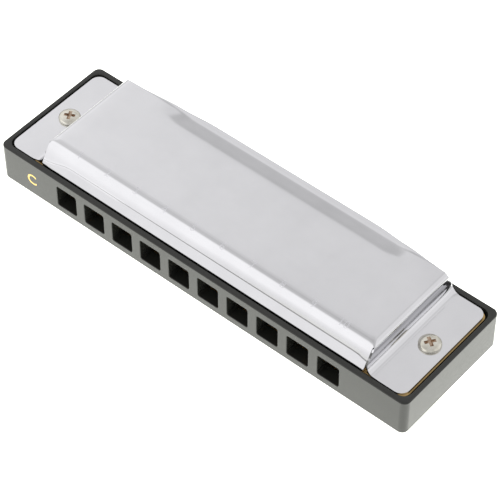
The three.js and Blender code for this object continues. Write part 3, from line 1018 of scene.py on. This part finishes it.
def reed_stations(i, heel_y, low_y, length, half):
    """(y, thickness, half width) along a reed, from its pad's end to its tip."""
    stations = [(heel_y, PAD_END_THICK, half * 0.9), (heel_y + 0.12, PAD_THICK, half),
                (low_y - 0.35, PAD_THICK, half), (low_y - 0.1, 0.3, half)]
    steps = 24
    for k in range(steps + 1):
        share = k / steps
        thickness = TONGUE_THICK - FILED * math.sin(math.pi * min(share * 1.15, 1))
        if share > HEAVY_TIP_START and i < HEAVY_TIPS:
            thickness = TONGUE_THICK
        stations.append((low_y + length * share, thickness, half - 0.05 * share))
    return stations


def build_reed(kind, i):
    """One reed as a single strip: riveted pad, then a tongue filed thinner along its middle."""
    tongue, heel = f"{kind}_reed_{i + 1}", f"{kind}_reed_heel_{i + 1}"
    low, high = box_mm(tongue)
    heel_low = box_mm(heel)[0]
    x = (low.x + high.x) / 2
    length = high.y - low.y
    rings = []
    e = REED_CHAMFER
    for y, thickness, wide in reed_stations(i, heel_low.y, low.y, length, (high.x - low.x) / 2):
        z0, z1 = high.z - thickness, high.z
        rings.append([(x - wide + e, y, z1), (x - wide, y, z1 - e), (x - wide, y, z0 + e),
                      (x - wide + e, y, z0), (x + wide - e, y, z0), (x + wide, y, z0 + e),
                      (x + wide, y, z1 - e), (x + wide - e, y, z1)])
    reed = scaled_object(f"{kind}_reed_strip_{i + 1}", loft(rings))
    dress(reed, REED_BRASS, [tongue, heel], body=None, crisp=30)
    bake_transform(reed)
    build_rivet(kind, i, x, (heel_low.y + low.y) / 2)


def build_rivet(kind, i, x, y):
    """The rivet through a reed's pad and the plate: a domed head below, a spread end above."""
    heel = f"{kind}_reed_heel_{i + 1}"
    low, high = box_mm(heel)
    profile = [(0.05, low.z), (0.42, low.z + 0.03), (0.66, low.z + 0.12), (0.78, low.z + 0.24),
               (0.78, low.z + 0.31), (0.45, low.z + 0.33), (0.45, high.z - 0.28),
               (0.76, high.z - 0.26), (0.8, high.z - 0.18), (0.66, high.z - 0.07),
               (0.36, high.z), (0.14, high.z - 0.06), (0.05, high.z - 0.07)]
    rivet = scaled_object(f"{kind}_rivet_{i + 1}", turned(profile, x, y, 28))
    dress(rivet, PLATE_BRASS, [heel])


for reed_kind in ("blow", "draw"):
    for reed_index in range(HOLES):
        build_reed(reed_kind, reed_index)

for plate_name in ("upper_reed_plate", "lower_reed_plate"):
    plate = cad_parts[plate_name]
    plate.data.materials.clear()
    plate.data.materials.append(PLATE_BRASS)
    weld = plate.modifiers.new("weld", "WELD")
    weld.merge_threshold = 1e-6
    flatten = plate.modifiers.new("flatten", "DECIMATE")
    flatten.decimate_type = "DISSOLVE"
    flatten.angle_limit = math.radians(1)
    soften(plate, 0.06, 50)


# ---------------------------------------------------------------- marks

CAPITAL = 0.72  # capital height as a share of the font's size
KEY_X = 9.65  # from hole 1 to the key letter
DIGIT_Y = -9.62
DIGIT_HEIGHT = 1.75
DIGIT_SLICE = 0.1  # the digits are cut this fine to follow the bend
DIGIT_LIFT = 0.008


def glyph(text, height, weight=0.0):
    """A short text as a flat bmesh, centred on its own box, with its capital height as given."""
    curve = bpy.data.curves.new("glyph", "FONT")
    curve.body = text
    curve.size = height / CAPITAL
    curve.offset = weight
    curve.resolution_u = 6
    obj = bpy.data.objects.new("glyph", curve)
    SCENE.collection.objects.link(obj)
    graph = bpy.context.evaluated_depsgraph_get()
    mesh = bpy.data.meshes.new_from_object(obj.evaluated_get(graph))
    bm = bmesh.new()
    bm.from_mesh(mesh)
    bpy.data.objects.remove(obj)
    bpy.data.meshes.remove(mesh)
    xs, ys = [v.co.x for v in bm.verts], [v.co.y for v in bm.verts]
    centre = Vector(((min(xs) + max(xs)) / 2, (min(ys) + max(ys)) / 2, 0))
    bmesh.ops.translate(bm, vec=-centre, verts=bm.verts)
    return bm


def thicken(obj, thickness):
    """Gives a flat mark the thickness of its film."""
    shell = obj.modifiers.new("film", "SOLIDIFY")
    shell.thickness = thickness * MM
    shell.offset = -1
    settle(obj)


def build_key_mark():
    """The key letter printed on the mouth face, left of hole 1."""
    bm = glyph("C", 2.7, 0.04)
    for v in bm.verts:
        v.co = Vector((hole_x(0) - KEY_X + v.co.x, -HALF_Y - 0.012, MID_Z - 0.05 + v.co.y))
    mark = scaled_object("key_letter", bm)
    thicken(mark, 0.03)
    dress(mark, GOLD)


def shoulder_line():
    """Arc lengths and (y, h) points from the flat top forward over the front bend."""
    points = [(y, BEND_TOP) for y in np.linspace(-6, FRONT_BEND[0][0], 20)[:-1]]
    points += [front_bend(t) for t in np.linspace(0, 0.9, 60)]
    points = np.array(points)
    lengths = np.concatenate([[0], np.cumsum(np.linalg.norm(np.diff(points, axis=0), axis=1))])
    return lengths, points


def build_digit(n):
    """A hole number etched across the cover's front crest."""
    lengths, points = shoulder_line()
    middle = np.interp(-DIGIT_Y, -points[:, 0], lengths)
    bm = glyph(str(n), DIGIT_HEIGHT)
    for k in range(-9, 10):
        geometry = bm.verts[:] + bm.edges[:] + bm.faces[:]
        bmesh.ops.bisect_plane(bm, geom=geometry, plane_co=(0, k * DIGIT_SLICE, 0),
                               plane_no=(0, 1, 0))
    for v in bm.verts:
        along = middle - v.co.y
        y, h = (np.interp(along, lengths, points[:, c]) for c in (0, 1))
        ahead = [np.interp(along + 0.02, lengths, points[:, c]) for c in (0, 1)]
        tangent = Vector((0, ahead[0] - y, ahead[1] - h)).normalized()
        normal = Vector((0, tangent.z, -tangent.y))
        on_cover = Vector((hole_x(n - 1) + COVER_SHIFT + v.co.x, y, RIM_Z + MID_Z + h))
        v.co = on_cover + normal * DIGIT_LIFT
    bmesh.ops.recalc_face_normals(bm, faces=bm.faces)
    digit = scaled_object(f"hole_number_{n}", bm)
    thicken(digit, 2 * DIGIT_LIFT)
    dress(digit, ETCHED)


build_key_mark()
for number in range(1, HOLES + 1):
    build_digit(number)


# ---------------------------------------------------------------- floor, light and camera


def build_floor():
    """A floor that glows like a lit table round the object and is plainer further off."""
    full_glow, faint_glow = 1.75, 0.25
    glow_edge, glow_end = 0.075, 0.15  # metres from the middle
    bm = bmesh.new()
    bmesh.ops.create_grid(bm, x_segments=2, y_segments=2, size=1500)
    floor = scaled_object("floor", bm)
    s = Surface("pale_floor", Roughness=0.9, Base_Color=(0.8, 0.8, 0.79, 1))
    away = s.nodes.new("ShaderNodeVectorMath")
    away.operation = "LENGTH"
    s.link(s.place, away.inputs[0])
    glow = s.spread(away.outputs["Value"], full_glow, faint_glow, glow_edge, glow_end)
    s.use(Emission_Strength=glow)
    s.shader.inputs["Emission Color"].default_value = (0.985, 1, 0.93, 1)
    floor.data.materials.append(s.material)


def world_light():
    """A soft studio: an even sky with broad brighter and darker patches, each by direction."""
    world = bpy.data.worlds.new("studio")
    SCENE.world = world
    world.use_nodes = True
    nodes, links = world.node_tree.nodes, world.node_tree.links
    background = nodes["Background"]
    direction = nodes.new("ShaderNodeTexCoord").outputs["Generated"]

    # (direction, degrees from it to which the patch is full, degrees where it ends, strength)
    patches = (
        ((-0.45, 0.50, 0.74), 9, 42, 0.17),
        ((-0.43, -0.86, 0.30), 25, 44, 0.53),
        ((-0.33, 0.15, 0.93), 11, 23, -0.12),
        ((0.70, 0.50, 0.51), 28, 44, 0.25),
        ((0.84, 0.45, 0.15), 12, 24, 0.10),
        ((-0.43, 0.71, 0.56), 3, 9, -0.20),
        ((-0.43, 0.86, 0.26), 8, 20, 0.12),
        ((0, 0, -1), 88, 104, -0.22),
        ((-0.90, 0.05, 0.40), 20, 50, 0.25),
    )
    total = 0.60  # the even sky
    for toward, full, faded, strength in patches:
        dot = nodes.new("ShaderNodeVectorMath")
        dot.operation = "DOT_PRODUCT"
        dot.inputs[1].default_value = Vector(toward).normalized()
        links.new(direction, dot.inputs[0])
        span = nodes.new("ShaderNodeMapRange")
        span.interpolation_type = "SMOOTHSTEP"
        span.inputs["From Min"].default_value = math.cos(math.radians(faded))
        span.inputs["From Max"].default_value = math.cos(math.radians(full))
        span.inputs["To Max"].default_value = strength
        links.new(dot.outputs["Value"], span.inputs["Value"])
        add = nodes.new("ShaderNodeMath")
        add.operation = "ADD"
        links.new(span.outputs["Result"], add.inputs[0])
        if isinstance(total, float):
            add.inputs[1].default_value = total
        else:
            links.new(total, add.inputs[1])
        total = add.outputs["Value"]
    links.new(total, background.inputs["Strength"])
    background.inputs["Color"].default_value = (1.0, 0.995, 1.0, 1)


def build_camera():
    """A long lens, up and to the right of the mouth side."""
    azimuth, elevation, roll = (math.radians(a) for a in (40.395, 48.729, -0.2555))
    distance, aside, up_by = 448.59, 1.587, 1.084  # from the middle of the comb's foot
    back = Vector((math.sin(azimuth) * math.cos(elevation),
                   -math.cos(azimuth) * math.cos(elevation), math.sin(elevation)))
    right = Vector((math.cos(azimuth), math.sin(azimuth), 0))
    up = back.cross(right)
    right, up = (right * math.cos(roll) + up * math.sin(roll),
                 up * math.cos(roll) - right * math.sin(roll))
    data = bpy.data.cameras.new("camera")
    data.sensor_width = 36
    data.lens = 161.74
    data.clip_start, data.clip_end = 0.01, 20
    camera = bpy.data.objects.new("camera", data)
    SCENE.collection.objects.link(camera)
    place = Vector((0, 0, COMB_LOW.z)) + back * distance + right * aside + up * up_by
    turn = Matrix((right, up, back)).transposed().to_4x4()
    camera.matrix_world = Matrix.Translation(place * MM) @ turn
    SCENE.camera = camera


build_floor()
world_light()
build_camera()
